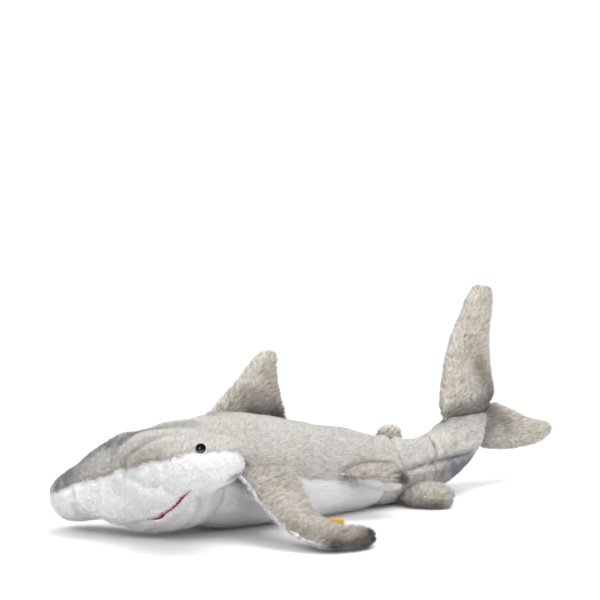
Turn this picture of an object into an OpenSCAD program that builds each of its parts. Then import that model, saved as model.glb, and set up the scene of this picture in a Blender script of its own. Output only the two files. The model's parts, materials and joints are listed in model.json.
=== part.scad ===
// Plush hammerhead shark, sewn from fabric panels over stuffing.
// Millimetres. +Z is up, the nose points to -X and the toy's left side to -Y.
// The toy lies on its belly and leans over to its right.

/* [Pose] */
// Lean of the whole toy towards its right side, in degrees
lean = 15.5; // [12:0.5:16]

/* [Head] */
// Half of the hammer's span
hammer_half = 120; // [114:1:124]
// Height of the toy's long axis above the floor at the head
axis_z = 55; // [54:0.5:57]
// Half of the mouth's width, measured across the head
mouth_half = 58; // [58:1:58]
// Puff of the lower jaw below the mouth
jaw_puff = 2; // [0:0.5:4]

/* [Fabric] */
// Thickness of the plush fabric on the head and body
body_wall = 2; // [1.5:0.1:2.2]
// Thickness of the fabric on the fins
fin_wall = 1.3; // [1:0.1:1.5]
// Slack between the fabric and the stuffing
slack = 0.25; // [0.2:0.05:0.4]

/* [Eyes] */
// Diameter of the black eye
eye_d = 9.5; // [8:0.5:10]
// Outer diameter of the white ring around the eye
ring_d = 13; // [12:0.5:14]
// Diameter of the lock washer on the eye's stem
washer_d = 8; // [7:0.5:8]

/* [Label] */
// Length of the woven label along the seam
label_l = 22; // [18:1:24]
// Height of the woven label above the seam
label_h = 8; // [6:0.5:9]

/* [Hidden] */

// Place of the toy's own zero point, the nose, ahead of the frame's origin
origin_x = 316;
origin_y = -0.5;

GREY = [0.73, 0.71, 0.68];
WHITE = [0.95, 0.96, 0.96];
RED = [0.72, 0.05, 0.10];
FILL = [0.98, 0.98, 0.94];

// ---- Frame: a point of the upright toy, leaned over and kept above the floor ----

function leaned(p) = [
    p[0] - origin_x,
    p[1] * cos(lean) + (p[2] - axis_z) * sin(lean) - origin_y,
    axis_z - p[1] * sin(lean) + (p[2] - axis_z) * cos(lean)
];
function floored(p, inset) = [p[0], p[1], max(p[2], inset)];
function placed(p, inset) = floored(leaned(p), inset);
function shifted(p, inset) = floored([p[0] - origin_x, p[1] - origin_y, p[2]], inset);

module leaning() {
    translate([-origin_x, -origin_y, axis_z])
        rotate([-lean, 0, 0])
            translate([0, 0, -axis_z])
                children();
}

// ---- Small maths ----

function unit(v) = v / norm(v);
function mix(a, b, t) = a + (b - a) * t;
function ease(t) = let (c = min(max(t, 0), 1)) c * c * (3 - 2 * c);
function flat(lists) = [for (list = lists) for (v = list) v];
function reversed(list) = [for (k = [len(list) - 1:-1:0]) list[k]];

// A smooth curve through rows of numbers, with `steps` spans between two rows
function curve_at(a, b, c, d, t) =
    0.5 * (2 * b + (c - a) * t + (2 * a - 5 * b + 4 * c - d) * t * t
    + (3 * b - 3 * c + d - a) * t * t * t);
function smooth(rows, steps) = concat(
    [for (i = [0:len(rows) - 2]) for (s = [0:steps - 1])
        curve_at(rows[max(i - 1, 0)], rows[i], rows[i + 1],
                 rows[min(i + 2, len(rows) - 1)], s / steps)],
    [rows[len(rows) - 1]]);

// ---- Meshes ----

// Two triangles for each cell of a grid of points, numbered from `base`
function grid_faces(rows, cols, base, flip) = flat([
    for (i = [0:rows - 2]) for (j = [0:cols - 2])
        let (a = base + i * cols + j, b = a + 1, c = a + cols + 1, d = a + cols)
            flip ? [[a, c, b], [a, d, c]] : [[a, b, c], [a, c, d]]
]);
function edge_faces(outer, inner, flip) = flat([
    for (k = [0:len(outer) - 2])
        let (a = outer[k], b = outer[k + 1], c = inner[k + 1], d = inner[k])
            flip ? [[a, b, c], [a, c, d]] : [[a, c, b], [a, d, c]]
]);

// A fabric panel: an outer and an inner grid of points, joined along their four edges
module panel(outer, inner) {
    rows = len(outer);
    cols = len(outer[0]);
    n = rows * cols;
    first_row = [for (j = [0:cols - 1]) j];
    last_row = [for (j = [0:cols - 1]) (rows - 1) * cols + j];
    first_col = [for (i = [0:rows - 1]) i * cols];
    last_col = [for (i = [0:rows - 1]) i * cols + cols - 1];
    polyhedron(
        points = concat(flat(outer), flat(inner)),
        faces = concat(
            grid_faces(rows, cols, 0, false),
            grid_faces(rows, cols, n, true),
            edge_faces(first_row, [for (k = first_row) k + n], false),
            edge_faces(last_row, [for (k = last_row) k + n], true),
            edge_faces(first_col, [for (k = first_col) k + n], true),
            edge_faces(last_col, [for (k = last_col) k + n], false)));
}

// A closed solid through rings of points, with a fan of triangles over each end
function middle(ring) = [for (axis = [0:2]) [for (p = ring) p[axis]] * [for (p = ring) 1 / len(ring)]];
module loft(rings) {
    rows = len(rings);
    cols = len(rings[0]);
    n = rows * cols;
    polyhedron(
        points = concat(flat(rings), [middle(rings[0]), middle(rings[rows - 1])]),
        faces = concat(
            flat([for (i = [0:rows - 2]) for (j = [0:cols - 1])
                let (k = (j + 1) % cols, a = i * cols + j, b = i * cols + k)
                    [[a, b, b + cols], [a, b + cols, a + cols]]]),
            [for (j = [0:cols - 1]) [n, (j + 1) % cols, j]],
            [for (j = [0:cols - 1]) [n + 1, n - cols + j, n - cols + (j + 1) % cols]]));
}

function window(grid, r0, r1, c0, c1) = [for (i = [r0:r1]) [for (j = [c0:c1]) grid[i][j]]];

// ---- Head: sections across the hammer, from the right lobe's tip to the left one's ----

neck_x = 90;
neck_half_w = 50;
neck_top = 51;
neck_bottom = -48;

// Each list pairs a distance from the head's centre line with a size there
front_x = [[0, 8], [10, 5], [25, -1], [45, -6], [65, -8], [85, -7], [98, -2], [107, 6],
           [114, 15], [118, 23], [120, 31]];
rear_x = [[52, 90], [58, 84], [66, 77], [76, 73], [87, 71], [98, 68], [107, 62],
          [114, 54], [118, 47], [120, 40]];
crown_z = [[0, 45], [20, 44.5], [30, 42.5], [39, 39.5], [46, 36.5], [52, 34], [58, 31.5], [66, 29],
           [76, 26], [87, 23], [98, 19.5], [107, 15.5], [114, 11], [118, 7.5], [120, 5]];
belly_z = [[0, -43.5], [20, -42.5], [30, -40], [39, -37], [46, -33.5], [52, -30], [58, -26],
           [66, -23], [76, -21.5], [87, -21.5], [98, -21], [107, -19.5], [114, -16],
           [118, -12], [120, -7]];
border_z = [[0, 10], [60, 9], [90, 7], [107, 5], [120, 0.5]];
head_stations = [0, 10, 20, 30, 39, 46, 52, 58, 66, 76, 87, 98, 107, 114, 118, 120];

top_cells = 8;
lip_cells = 5;
jaw_cells = 5;
// Share of the half turn at which the mouth lies, at the middle and at the corners
mouth_mid = 58;
mouth_end = 88;
mouth_band = 4;
rear_edge = 1.6;

function mouth_angle(s) = mix(mouth_mid, mouth_end, pow(min(s / mouth_half, 1), 2));
// How far a section is closed behind: 0 at the neck, 1 out on the lobes
function closed(s) = ease((s - 46) / 10);
function rear_height(s, top, inset) =
    let (r = min(s / (neck_half_w - inset), 1), h = sqrt(max(1 - r * r, 0)))
        top ? max((neck_top - inset) * h, rear_edge - inset / 2)
            : min((neck_bottom + inset) * h, -rear_edge + inset / 2);
function fall(s, a) = mix(ease(-cos(a)), 1 - sin(a), closed(s));
function puff(s, a) =
    let (past = (a - mouth_angle(s)) / 60)
        past <= 0 || past >= 1 || s > mouth_half ? 0
            : jaw_puff * sin(180 * past) * (1 - pow(s / mouth_half, 4));

function section_point(s, a, top, inset) =
    let (
        f = lookup(s, front_x) + inset,
        r = s < 52 ? neck_x : lookup(s, rear_x) - inset * closed(s),
        edge = lookup(s, border_z),
        peak = top ? lookup(s, crown_z) - inset : lookup(s, belly_z) + inset,
        rear = rear_height(s, top, inset),
        z = a <= 90 ? mix(edge, peak, pow(sin(a), 0.85)) : mix(peak, rear, fall(s, a))
    )
    [mix(f, r, (1 - cos(a)) / 2), z - (top ? 0 : puff(s, a))];

// Angles round a section: over the top from the rear to the border, then under to the rear
function top_angles() = [for (k = [0:top_cells]) 180 * (1 - k / top_cells)];
function under_angles(s) = concat(
    [for (k = [1:lip_cells]) mouth_angle(s) * k / lip_cells],
    [for (k = [0:jaw_cells]) mix(mouth_angle(s) + mouth_band, 180, k / jaw_cells)]);

function head_ring(y, inset) =
    let (s = abs(y), across = y * (hammer_half - inset) / 120)
        concat(
            [for (a = top_angles())
                let (q = section_point(s, a, true, inset)) placed([q[0], across, axis_z + q[1]], inset)],
            [for (a = under_angles(s))
                let (q = section_point(s, a, false, inset)) placed([q[0], across, axis_z + q[1]], inset)]);

head_y = concat([for (k = [len(head_stations) - 1:-1:1]) head_stations[k]], -head_stations);
mouth_first = search(mouth_half, head_y)[0] + 1;
mouth_last = search(-mouth_half, head_y)[0] + 1;
head_last = len(head_y) + 1;
head_cols = top_cells + lip_cells + jaw_cells + 1;
mouth_col = top_cells + lip_cells;

// The lobes' tips are closed by a last ring drawn in towards its middle
tip_hole = 0.15;
function pinched(ring) = let (c = middle(ring)) [for (p = ring) c + (p - c) * tip_hole];
function head_grid(inset) =
    let (rings = [for (y = head_y) head_ring(y, inset)])
        concat([pinched(rings[0])], rings, [pinched(rings[len(rings) - 1])]);
head_out = head_grid(0);
head_in = head_grid(body_wall);
module head_patch(r0, r1, c0, c1) {
    panel(window(head_out, r0, r1, c0, c1), window(head_in, r0, r1, c0, c1));
}

// ---- Eyes: a domed button, a ring round it and a lock washer on its stem ----

// Each eye's place on the upright toy, and the way it looks
left_eye_at = [9.1, -109.2, 65.6];
left_eye_way = [-0.66, -0.68, 0.32];
right_eye_at = [15.5, 113.5, 64];
right_eye_way = [-0.52, 0.79, 0.32];
stem_d = 3.2;
stem_l = 12;
eye_rise = 3.4;
ring_t = 0.8;
washer_t = 1.2;
washer_depth = 9;
hole_play = 0.4;

module at_eye(side) {
    way = unit(side > 0 ? right_eye_way : left_eye_way);
    leaning()
        translate(side > 0 ? right_eye_at : left_eye_at)
            rotate([0, acos(way[2]), atan2(way[1], way[0])])
                children();
}
// side is 1 for the toy's right eye and -1 for its left one
module eye(side) {
    dome_r = (eye_d * eye_d / 4 + eye_rise * eye_rise) / (2 * eye_rise);
    color([0.02, 0.02, 0.02]) at_eye(side) {
        rotate_extrude($fn = 32)
            intersection() {
                translate([0, eye_rise - dome_r]) circle(r = dome_r, $fn = 64);
                square([eye_d, eye_d]);
            }
        translate([0, 0, -stem_l]) cylinder(d = stem_d, h = stem_l, $fn = 24);
    }
}
module eye_ring(side) {
    color(WHITE) at_eye(side)
        difference() {
            translate([0, 0, 0.1]) cylinder(d = ring_d, h = ring_t, $fn = 32);
            cylinder(d = eye_d + 0.2, h = 2 * ring_t, $fn = 32);
        }
}
module eye_washer(side) {
    color([0.9, 0.9, 0.88]) at_eye(side)
        translate([0, 0, -washer_depth])
            difference() {
                cylinder(d = washer_d, h = washer_t, $fn = 32);
                translate([0, 0, -1]) cylinder(d = stem_d + 0.1, h = washer_t + 2, $fn = 24);
            }
}
module eye_hole(side) {
    at_eye(side) translate([0, 0, -stem_l]) cylinder(d = stem_d + hole_play, h = 2 * stem_l, $fn = 24);
}
module eye_pocket(side) {
    at_eye(side) translate([0, 0, -stem_l - 2]) cylinder(d = washer_d + 3, h = 2 * stem_l, $fn = 24);
}

// ---- Head panels ----

module head_top_panel() {
    color(GREY)
        difference() {
            head_patch(0, head_last, 0, top_cells);
            for (side = [-1, 1]) eye_hole(side);
        }
}
module right_lobe_underside() {
    color(WHITE) head_patch(0, mouth_first, top_cells, head_cols - 1);
}
module left_lobe_underside() {
    color(WHITE) head_patch(mouth_last, head_last, top_cells, head_cols - 1);
}
module snout_panel() {
    color(WHITE) head_patch(mouth_first, mouth_last, top_cells, mouth_col);
}
module mouth_lining() {
    color(RED) head_patch(mouth_first, mouth_last, mouth_col, mouth_col + 1);
}
module lower_jaw_panel() {
    color(WHITE) head_patch(mouth_first, mouth_last, mouth_col + 1, head_cols - 1);
}
module head_stuffing() {
    color(FILL)
        difference() {
            loft(head_grid(body_wall + slack));
            for (side = [-1, 1]) eye_pocket(side);
        }
}

// ---- Body and tail: rings from the neck to the root of the tail fin ----

// Each row: top x and z, bottom x and z, half width, angle of the side seam
body_rows = [
    [90, 106, 90, 7, 50, -8],
    [113, 108, 113, 2.5, 56, -11],
    [145, 107, 145, 0, 58, -15],
    [180, 102, 180, -1.5, 56, -20],
    [217, 94.5, 217, -2, 51, -23],
    [250, 88, 250, -2, 46.5, -26],
    [285, 82, 285, -2, 41.5, -31],
    [316, 75.5, 316, -1.5, 37, -38],
    [343, 69, 343, -0.5, 33, -30],
    [362, 66.5, 362, 0.5, 31, -10],
    [382, 64, 382, 3, 29, 2],
    [399, 63, 399, 5.5, 27.3, 5]
];
tail_hinge_x = 403;
tail_rows = [
    [411, 63, 411, 7.5, 26.5, 6],
    [425, 66, 428, 11, 25.3, 8],
    [440, 71, 444, 15, 24, 8],
    [457, 78, 462, 22, 22, 4],
    [480, 81, 480, 31.5, 19.5, 0],
    [504, 82, 490, 37.5, 17, 0],
    [525, 84, 497, 42, 14, 0]
];
body_steps = 2;
belly_end = 7 * body_steps;
back_cells = 12;
under_cells = 8;

function ring_angles(seam) = concat(
    [for (k = [0:back_cells]) mix(seam, 180 - seam, k / back_cells)],
    [for (k = [1:under_cells]) mix(180 - seam, 360 + seam, k / under_cells)]);
function body_ring(row, inset) =
    let (
        top = [row[0], row[1] - inset],
        bottom = [row[2], row[3] + inset],
        centre = (top + bottom) / 2,
        half = (top - bottom) / 2,
        w = row[4] - inset
    )
    [for (a = ring_angles(row[5]))
        let (q = centre + half * sin(a))
            placed([q[0], w * cos(a), q[1]], inset)];
function body_grid(rows, inset) = [for (row = smooth(rows, body_steps)) body_ring(row, inset)];
body_cols = back_cells + under_cells + 1;
body_out = body_grid(body_rows, 0);
body_in = body_grid(body_rows, body_wall);
tail_out = body_grid(tail_rows, 0);
tail_in = body_grid(tail_rows, body_wall);
body_last = len(body_out) - 1;
tail_last = len(tail_out) - 1;

module body_patch(r0, r1, c0, c1) {
    panel(reversed(window(body_out, r0, r1, c0, c1)), reversed(window(body_in, r0, r1, c0, c1)));
}
module tail_patch(c0, c1) {
    panel(reversed(window(tail_out, 0, tail_last, c0, c1)),
          reversed(window(tail_in, 0, tail_last, c0, c1)));
}
module right_back_panel() {
    color(GREY) body_patch(0, body_last, 0, back_cells / 2);
}
module left_back_panel() {
    color(GREY) body_patch(0, body_last, back_cells / 2, back_cells);
}
module belly_panel() {
    color(WHITE) body_patch(0, belly_end, back_cells, body_cols - 1);
}
module vent_panel() {
    color(GREY) body_patch(belly_end, body_last, back_cells, body_cols - 1);
}
module tail_upper_panel() {
    color(GREY) tail_patch(0, back_cells);
}
module tail_lower_panel() {
    color(GREY) tail_patch(back_cells, body_cols - 1);
}

function open_ring(ring) = [for (j = [0:len(ring) - 2]) ring[j]];
function closed_rings(grid) = [for (ring = grid) open_ring(ring)];

// The stuffing ends ahead of the round front end of the tail's own stuffing
plug_w = 23.5;
plug_h = 24.5;
stuffing_end = body_last - 3;
module body_stuffing() {
    rings = closed_rings(body_grid(body_rows, body_wall + slack));
    color(FILL) loft(reversed([for (i = [0:stuffing_end]) rings[i]]));
}
// The tail's front end is round about the upright axis of its joint, so it turns in the body
hinge_z = 34.5;
function plug_row(b) = [
    tail_hinge_x - plug_w * cos(b), hinge_z + plug_h * sin(b),
    tail_hinge_x - plug_w * cos(b), hinge_z - plug_h * sin(b), plug_w * sin(b), 0];
module tail_stuffing() {
    plug = [for (b = [15:15:90]) open_ring(body_ring(plug_row(b), 0))];
    color(FILL)
        loft(reversed(concat(plug, closed_rings(body_grid(tail_rows, body_wall + slack)))));
}

// ---- Fins: rings from the sewn root to the tip ----

fin_cells = 7;
fin_steps = 2;

// Rows of a fin that stands in the toy's middle plane: lead x and z, trail x and z, half depth
dorsal_rows = [
    [118, 113.5, 222, 98.5, 3.4],
    [142, 124, 220, 114, 12],
    [163, 138, 220, 132, 11],
    [184, 154, 223, 148, 9],
    [199, 164, 227, 158, 7],
    [210, 169.5, 227, 165, 3]
];
second_dorsal_rows = [
    [338, 73.5, 384, 68.5, 3.2],
    [346, 79, 386, 73, 6],
    [355, 82.5, 383, 79, 5],
    [362, 84, 377, 82, 2.5]
];
caudal_upper_rows = [
    [453, 82, 525, 90, 3.2],
    [457, 98, 548, 103, 13],
    [466, 120, 552, 122, 13],
    [480, 145, 557, 149, 12],
    [496, 169, 566, 173, 11],
    [514, 190, 577, 194, 10],
    [533, 210, 587, 210, 8],
    [552, 226, 588, 222, 6],
    [562, 230.5, 581, 229, 3]
];
caudal_lower_rows = [
    [532, 86, 503.5, 42, 3.2],
    [549, 93, 524, 40, 9],
    [565, 88, 550, 38, 10],
    [588, 77.5, 580, 37.5, 9.5],
    [611, 70, 606, 40, 8.5],
    [630, 65.5, 627, 46, 7],
    [640, 61, 639, 53, 3]
];

// Rows of a fin that hangs or lies to one side: lead point, trail point, half depth
left_pectoral_rows = [
    [92, -60.5, 51, 160, -58.5, 49, 3.4],
    [86, -80, 44, 158, -77, 43, 6.5],
    [84, -104, 30.5, 145, -97, 35.5, 7],
    [84, -128, 18, 138, -116, 24.5, 7],
    [90, -152, 9, 140, -129, 17.5, 7],
    [103, -169, 6.5, 148, -138, 14, 7],
    [128, -177, 6, 158, -143, 12.5, 7],
    [151, -172, 5.5, 165, -149, 11.5, 6],
    [163, -162, 7.5, 167, -155, 8.5, 3]
];
right_pectoral_rows = [
    [92, 61, 26, 160, 59, 25, 3.4],
    [86, 80, 21, 158, 77, 20, 7],
    [84, 104, 13, 146, 97, 14, 8],
    [86, 128, 9.5, 139, 117, 10, 8.5],
    [93, 152, 9, 142, 131, 9.5, 8.5],
    [106, 169, 8.5, 150, 140, 9, 8],
    [128, 176, 8, 160, 146, 8.5, 7.5],
    [150, 171, 7.5, 168, 151, 8, 6.5],
    [163, 163, 7.5, 168, 157, 8, 3]
];
left_pelvic_rows = [
    [233, -52.5, 42, 290, -46.5, 34.5, 3.2],
    [243, -62, 40.5, 302, -54, 32, 8.5],
    [258, -71, 37, 313, -61, 29.5, 9.5],
    [277, -77, 33, 320, -67, 27.5, 8.5],
    [297, -79, 30, 322, -71, 26, 4]
];
right_pelvic_rows = [
    [233, 54, 19.5, 290, 47.5, 16.5, 3.2],
    [243, 63, 16, 302, 55, 14, 6.5],
    [258, 72, 13, 313, 62, 12, 7],
    [277, 78, 10.5, 320, 68, 10, 6],
    [297, 80, 9, 322, 72, 9, 3]
];
anal_rows = [
    [341, -32, 7, 383, -31, 12, 3],
    [343, -42, 6.8, 386, -37, 11, 6.5],
    [346, -55, 7.2, 389, -46, 9.5, 7],
    [353, -69, 7.2, 390, -57, 8.5, 7],
    [366, -79, 6.5, 389, -69, 7.5, 3.5]
];

// A ring round a lead and a trail point, `depth` to each side along `side`
function fin_ring(lead, trail, side, depth, inset, back) =
    let (
        centre = (lead + trail) / 2 + back,
        half = (trail - lead) / 2,
        chord = unit(half) * (norm(half) - inset),
        thick = side * max(depth - inset, depth / 4)
    )
    [for (k = [0:2 * fin_cells - 1])
        let (a = 180 * k / fin_cells)
            centre - chord * cos(a) + thick * sin(a)];

// The tip's ring draws back by the fabric's thickness inside the fin
function tip_back(leads, trails, inset) =
    let (
        n = len(leads) - 1,
        step = (leads[n - 1] + trails[n - 1] - leads[n] - trails[n]) / 2
    )
    unit(step) * min(inset, norm(step) * 0.7);

function fin_grid(leads, trails, sides, depths, inset) =
    let (n = len(leads) - 1)
        [for (i = [0:n])
            fin_ring(leads[i], trails[i], sides[i], depths[i], inset,
                     i == n ? tip_back(leads, trails, inset) : [0, 0, 0])];

function upright_fin(table, inset) =
    let (rows = smooth(table, fin_steps))
        [for (ring = fin_grid(
                [for (r = rows) [r[0], 0, r[1]]], [for (r = rows) [r[2], 0, r[3]]],
                [for (r = rows) [0, -1, 0]], [for (r = rows) r[4]], inset))
            [for (p = ring) placed(p, 0)]];

function side_fin(table, inset) =
    let (
        rows = smooth(table, fin_steps),
        n = len(rows) - 1,
        leads = [for (r = rows) [r[0], r[1], r[2]]],
        trails = [for (r = rows) [r[3], r[4], r[5]]],
        mids = (leads + trails) / 2,
        sides = [for (i = [0:n])
            let (v = unit(cross(trails[i] - leads[i], mids[min(i + 1, n)] - mids[max(i - 1, 0)])))
                v[2] < 0 ? -v : v]
    )
    [for (ring = fin_grid(leads, trails, sides, [for (r = rows) r[6]], inset))
        [for (p = ring) shifted(p, inset)]];

// Half of a fin's skin: the side that `side` points to first, then the other one
module fin_skin(out, inn, half, flip) {
    cols = [for (k = [0:fin_cells]) (k + half * fin_cells) % (2 * fin_cells)];
    o = [for (ring = out) [for (c = cols) ring[c]]];
    i = [for (ring = inn) [for (c = cols) ring[c]]];
    if (flip) panel(reversed(o), reversed(i));
    else panel(o, i);
}
module upright_skin(table, half, tone = GREY) {
    color(tone) fin_skin(upright_fin(table, 0), upright_fin(table, fin_wall), half, false);
}
module upright_fill(table) {
    color(FILL) loft(upright_fin(table, fin_wall + slack));
}
module side_skin(table, half, flip, tone = GREY) {
    color(tone) fin_skin(side_fin(table, 0), side_fin(table, fin_wall), half, flip);
}
module side_fill(table, flip) {
    rings = side_fin(table, fin_wall + slack);
    color(FILL) loft(flip ? reversed(rings) : rings);
}

module dorsal_left_panel() { upright_skin(dorsal_rows, 0); }
module dorsal_right_panel() { upright_skin(dorsal_rows, 1); }
module dorsal_stuffing() { upright_fill(dorsal_rows); }
module second_dorsal_left_panel() { upright_skin(second_dorsal_rows, 0); }
module second_dorsal_right_panel() { upright_skin(second_dorsal_rows, 1); }
module second_dorsal_stuffing() { upright_fill(second_dorsal_rows); }
module caudal_upper_left_panel() { upright_skin(caudal_upper_rows, 0); }
module caudal_upper_right_panel() { upright_skin(caudal_upper_rows, 1); }
module caudal_upper_stuffing() { upright_fill(caudal_upper_rows); }
module caudal_lower_left_panel() { upright_skin(caudal_lower_rows, 0); }
module caudal_lower_right_panel() { upright_skin(caudal_lower_rows, 1); }
module caudal_lower_stuffing() { upright_fill(caudal_lower_rows); }
module left_pectoral_top_panel() { side_skin(left_pectoral_rows, 0, false); }
module left_pectoral_bottom_panel() { side_skin(left_pectoral_rows, 1, false, WHITE); }
module left_pectoral_stuffing() { side_fill(left_pectoral_rows, false); }
module right_pectoral_top_panel() { side_skin(right_pectoral_rows, 0, true); }
module right_pectoral_bottom_panel() { side_skin(right_pectoral_rows, 1, true, WHITE); }
module right_pectoral_stuffing() { side_fill(right_pectoral_rows, true); }
module left_pelvic_top_panel() { side_skin(left_pelvic_rows, 0, false); }
module left_pelvic_bottom_panel() { side_skin(left_pelvic_rows, 1, false, WHITE); }
module left_pelvic_stuffing() { side_fill(left_pelvic_rows, false); }
module right_pelvic_top_panel() { side_skin(right_pelvic_rows, 0, true); }
module right_pelvic_bottom_panel() { side_skin(right_pelvic_rows, 1, true, WHITE); }
module right_pelvic_stuffing() { side_fill(right_pelvic_rows, true); }
module anal_top_panel() { side_skin(anal_rows, 0, false); }
module anal_bottom_panel() { side_skin(anal_rows, 1, false); }
module anal_stuffing() { side_fill(anal_rows, false); }

// ---- Label: a folded tape, sewn into the rear seam of the left pectoral fin ----

label_at = [141.5, -117.3, 14];
label_t = 0.8;
label_turn = -67;
module woven_label() {
    color([0.98, 0.80, 0.10])
        translate([label_at[0] - origin_x, label_at[1] - origin_y, label_at[2]])
            rotate([0, 0, label_turn])
                cube([label_l, label_t, label_h]);
}

head_top_panel();
snout_panel();
left_lobe_underside();
right_lobe_underside();
lower_jaw_panel();
mouth_lining();
head_stuffing();
left_back_panel();
right_back_panel();
belly_panel();
vent_panel();
body_stuffing();
tail_upper_panel();
tail_lower_panel();
tail_stuffing();
dorsal_left_panel();
dorsal_right_panel();
dorsal_stuffing();
second_dorsal_left_panel();
second_dorsal_right_panel();
second_dorsal_stuffing();
caudal_upper_left_panel();
caudal_upper_right_panel();
caudal_upper_stuffing();
caudal_lower_left_panel();
caudal_lower_right_panel();
caudal_lower_stuffing();
left_pectoral_top_panel();
left_pectoral_bottom_panel();
left_pectoral_stuffing();
right_pectoral_top_panel();
right_pectoral_bottom_panel();
right_pectoral_stuffing();
left_pelvic_top_panel();
left_pelvic_bottom_panel();
left_pelvic_stuffing();
right_pelvic_top_panel();
right_pelvic_bottom_panel();
right_pelvic_stuffing();
anal_top_panel();
anal_bottom_panel();
anal_stuffing();
eye(-1);  // left_eye
eye_ring(-1);  // left_eye_ring
eye_washer(-1);  // left_eye_washer
eye(1);  // right_eye
eye_ring(1);  // right_eye_ring
eye_washer(1);  // right_eye_washer
woven_label();
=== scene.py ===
"""Looks of the plush hammerhead shark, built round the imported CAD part.

Each sewn panel of the CAD part becomes a cloth shell with its own pile. The shells come from one smooth
form for each soft part, so that neighbouring panels meet along their seams. Lengths are in metres.
"""

import json
import math

import bmesh
import bpy
import numpy as np
from mathutils import Matrix, Vector
from mathutils.bvhtree import BVHTree
from mathutils.kdtree import KDTree


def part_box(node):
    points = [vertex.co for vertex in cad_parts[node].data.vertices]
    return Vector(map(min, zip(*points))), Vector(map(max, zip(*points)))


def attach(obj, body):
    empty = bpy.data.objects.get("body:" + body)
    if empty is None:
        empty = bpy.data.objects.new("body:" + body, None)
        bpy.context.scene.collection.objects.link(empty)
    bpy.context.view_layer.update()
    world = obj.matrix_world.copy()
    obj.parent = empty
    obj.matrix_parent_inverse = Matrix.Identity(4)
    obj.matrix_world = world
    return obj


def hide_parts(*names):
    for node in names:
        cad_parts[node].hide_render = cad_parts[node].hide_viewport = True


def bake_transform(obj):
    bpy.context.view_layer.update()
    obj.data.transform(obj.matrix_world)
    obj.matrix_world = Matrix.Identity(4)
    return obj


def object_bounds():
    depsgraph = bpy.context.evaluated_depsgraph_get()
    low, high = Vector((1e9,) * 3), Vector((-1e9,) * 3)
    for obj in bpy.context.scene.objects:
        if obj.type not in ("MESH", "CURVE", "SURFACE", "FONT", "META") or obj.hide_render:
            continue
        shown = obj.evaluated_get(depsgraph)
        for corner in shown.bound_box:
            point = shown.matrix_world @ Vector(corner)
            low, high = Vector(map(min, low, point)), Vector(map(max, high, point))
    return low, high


MM = 0.001
CLOTH_ABOVE_FLOOR = 0.8 * MM
NOSE_BEHIND_BOX = 8 * MM

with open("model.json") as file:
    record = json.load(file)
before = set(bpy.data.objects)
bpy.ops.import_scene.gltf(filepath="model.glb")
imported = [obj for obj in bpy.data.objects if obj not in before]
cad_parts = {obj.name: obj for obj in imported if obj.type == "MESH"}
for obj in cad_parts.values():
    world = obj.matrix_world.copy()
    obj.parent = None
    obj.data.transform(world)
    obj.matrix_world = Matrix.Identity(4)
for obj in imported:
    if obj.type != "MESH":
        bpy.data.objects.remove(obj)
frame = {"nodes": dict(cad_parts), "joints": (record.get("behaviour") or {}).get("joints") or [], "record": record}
CAD_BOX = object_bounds()
NODES = frame["nodes"]
JOINTS = {j["child"]: j for j in frame["joints"]}
BODIES = frame["record"]["behaviour"]["bodies"]
SLOT_OF = {s["node"]: s["material_slot"] for s in frame["record"]["subparts"]}

BODY_BODIES = ("trunk", "tail")
FIN_BODIES = ("dorsal", "second_dorsal", "caudal_upper", "caudal_lower", "left_pectoral",
              "right_pectoral", "left_pelvic", "right_pelvic", "anal")
HEAD_TOP = "head_top_panel"
WHITE = "plush_white"


def unit(v):
    v = np.asarray(v, float)
    return v / np.maximum(np.linalg.norm(v, axis=-1, keepdims=True), 1e-12)


# The toy's own directions, from the hinge of its tail: the toy leans, so its own up isn't the floor's
TOY_UP = unit(JOINTS["tail"]["axis"])
TOY_BACK = np.array([1.0, 0.0, 0.0])
TOY_SIDE = np.cross(TOY_UP, TOY_BACK)
ORIGIN = np.array([CAD_BOX[0].x + NOSE_BEHIND_BOX, 0.0, 0.0])
TAIL_HINGE = np.array(JOINTS["tail"]["pos_m"])
# The toy leans about a line this many millimetres above the floor
LEAN_HEIGHT = 55
LEAN_AXIS = ORIGIN + [0, 0, LEAN_HEIGHT * MM]


def at(x, y, z):
    """A point given in millimetres behind the nose, to the toy's right and above the floor."""
    return ORIGIN + np.array([x, y, z]) * MM


def on_toy(x, side, up):
    """A point given in the toy's own directions, as if it stood upright."""
    return LEAN_AXIS + (x * TOY_BACK + side * TOY_SIDE + (up - LEAN_HEIGHT) * TOY_UP) * MM


# ---- Arrays and noise ----

def hashed(cells, seed):
    """A number from 0 to 1 for each row of whole numbers."""
    c = cells.astype(np.uint64)
    h = c[:, 0] * np.uint64(73856093) ^ c[:, 1] * np.uint64(19349663) ^ c[:, 2] * np.uint64(83492791)
    h ^= np.uint64(seed * 7919 + 17)
    h = (h ^ (h >> np.uint64(15))) * np.uint64(2246822519)
    h = (h ^ (h >> np.uint64(13))) * np.uint64(3266489917)
    return ((h >> np.uint64(8)) & np.uint64(0xFFFF)) / 65535.0


def noise(points, size, seed=0):
    """Smooth noise from -1 to 1, with features about `size` across."""
    q = points / size + 1000.0
    whole = np.floor(q)
    part = q - whole
    s = part * part * (3 - 2 * part)
    total = np.zeros(len(points))
    for dx in (0, 1):
        for dy in (0, 1):
            for dz in (0, 1):
                w = (np.abs(1 - dx - s[:, 0]) * np.abs(1 - dy - s[:, 1]) * np.abs(1 - dz - s[:, 2]))
                total += w * hashed(whole + [dx, dy, dz], seed)
    return total * 2 - 1


def noise3(points, size, seed=0):
    return np.stack([noise(points, size, seed + k) for k in (11, 23, 37)], axis=1)


def ramp(x, a, b):
    """0 at a, 1 at b, smooth between."""
    t = np.clip((np.asarray(x, float) - a) / (b - a), 0, 1)
    return t * t * (3 - 2 * t)


def bump(x, width):
    return np.exp(-(x / width) ** 2)


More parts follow.
